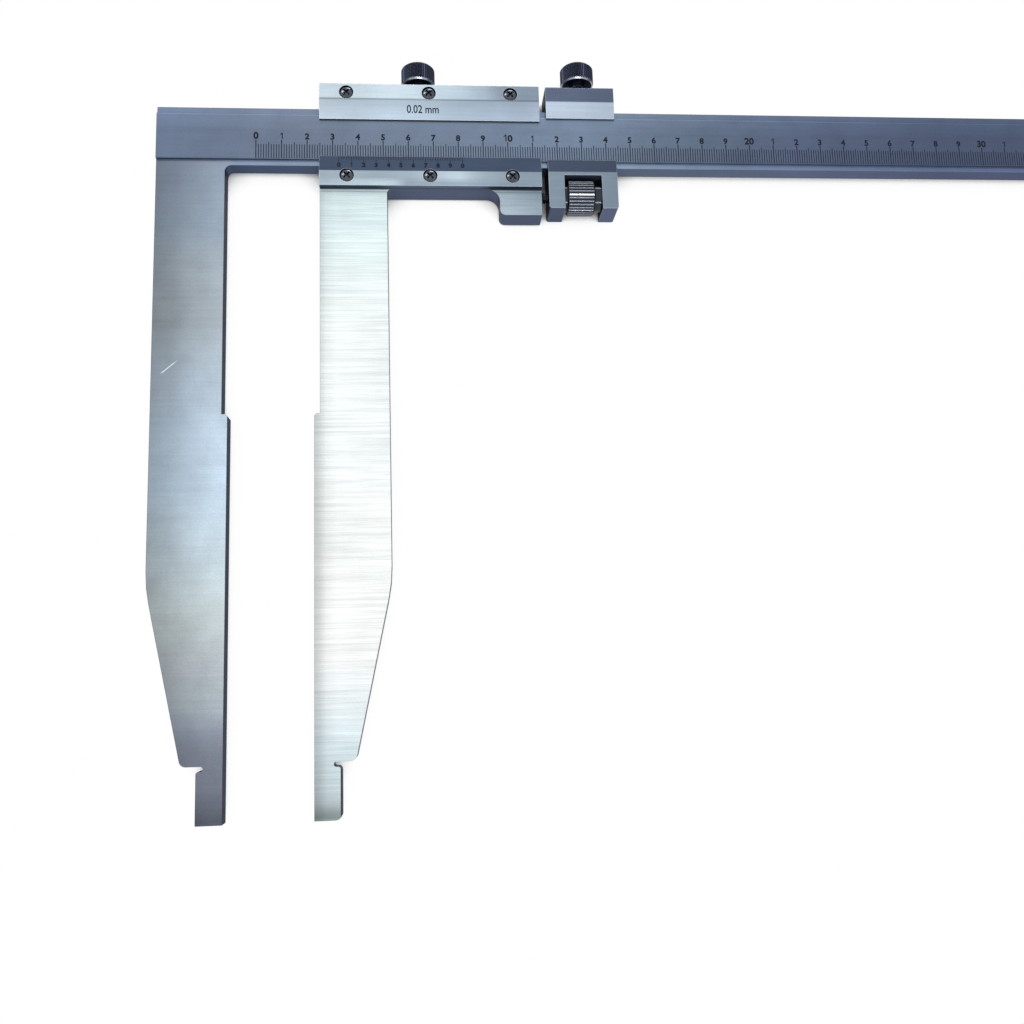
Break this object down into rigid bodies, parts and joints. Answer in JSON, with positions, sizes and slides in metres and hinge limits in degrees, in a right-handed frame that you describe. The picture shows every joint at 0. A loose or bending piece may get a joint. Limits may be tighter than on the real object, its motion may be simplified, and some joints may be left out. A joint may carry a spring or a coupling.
{
  "type": "long jaw vernier caliper",
  "caption": "Long jaw vernier caliper with a sliding jaw, inside measuring nibs, a fine adjustment carriage and two knurled lock screws.",
  "frame": {"origin": "middle of the fixed jaw's measuring face, at half the jaw's thickness", "axes": "+X along the beam towards its free end, +Y from the jaw tips towards the beam, +Z out of the scale face"},
  "size_m": [0.665, 0.2966, 0.0143],
  "materials": {
    "beam_steel": "satin",
    "jaw_steel": "satin",
    "plate_steel": "satin",
    "carriage_steel": "satin",
    "black_screw": "satin",
    "bright_screw": "polished",
    "nut_chrome": "polished",
    "gib_brass": "satin"
  },
  "bodies": {
    "beam": {"main_beam": "beam_steel", "beam_end_stop": "plate_steel", "end_stop_screw_1": "bright_screw", "end_stop_screw_2": "bright_screw"},
    "slider": {"moving_jaw": "jaw_steel", "cover_plate": "plate_steel", "vernier_plate": "plate_steel", "cover_plate_screw_1": "bright_screw", "cover_plate_screw_2": "bright_screw", "cover_plate_screw_3": "bright_screw", "vernier_plate_screw_1": "bright_screw", "vernier_plate_screw_2": "bright_screw", "vernier_plate_screw_3": "bright_screw", "slider_gib": "gib_brass", "gib_set_screw_1": "black_screw", "gib_set_screw_2": "black_screw", "fine_adjust_screw": "nut_chrome"},
    "slider_lock": {"slider_lock_screw": "black_screw"},
    "carriage": {"carriage_frame": "carriage_steel", "carriage_gib": "gib_brass"},
    "carriage_lock": {"carriage_lock_screw": "black_screw"},
    "nut": {"adjusting_nut": "nut_chrome"}
  },
  "joints": [
    {"name": "jaw_slide", "type": "slide", "parent": "beam", "child": "slider", "axis": [1, 0, 0], "range_m": [-0.03248, 0.4675]},
    {"name": "fine_adjust", "type": "slide", "parent": "slider", "child": "carriage", "axis": [1, 0, 0], "range_m": [-0.0022, 0.006]},
    {"name": "nut_spin", "type": "hinge", "parent": "carriage", "child": "nut", "pos_m": [0.1398, 0.1646, 0], "axis": [1, 0, 0], "range_deg": [-995, 2705]},
    {"name": "slider_lock_turn", "type": "hinge", "parent": "slider", "child": "slider_lock", "pos_m": [0.0742, 0.2103, 0], "axis": [0, 1, 0], "range_deg": [-30, 720]},
    {"name": "carriage_lock_turn", "type": "hinge", "parent": "carriage", "child": "carriage_lock", "pos_m": [0.1398, 0.2103, 0], "axis": [0, 1, 0], "range_deg": [-870, 360]}
  ],
  "couplings": [
    {"joint": "nut_spin", "follows": "fine_adjust", "rad_per_m": 7854}
  ]
}
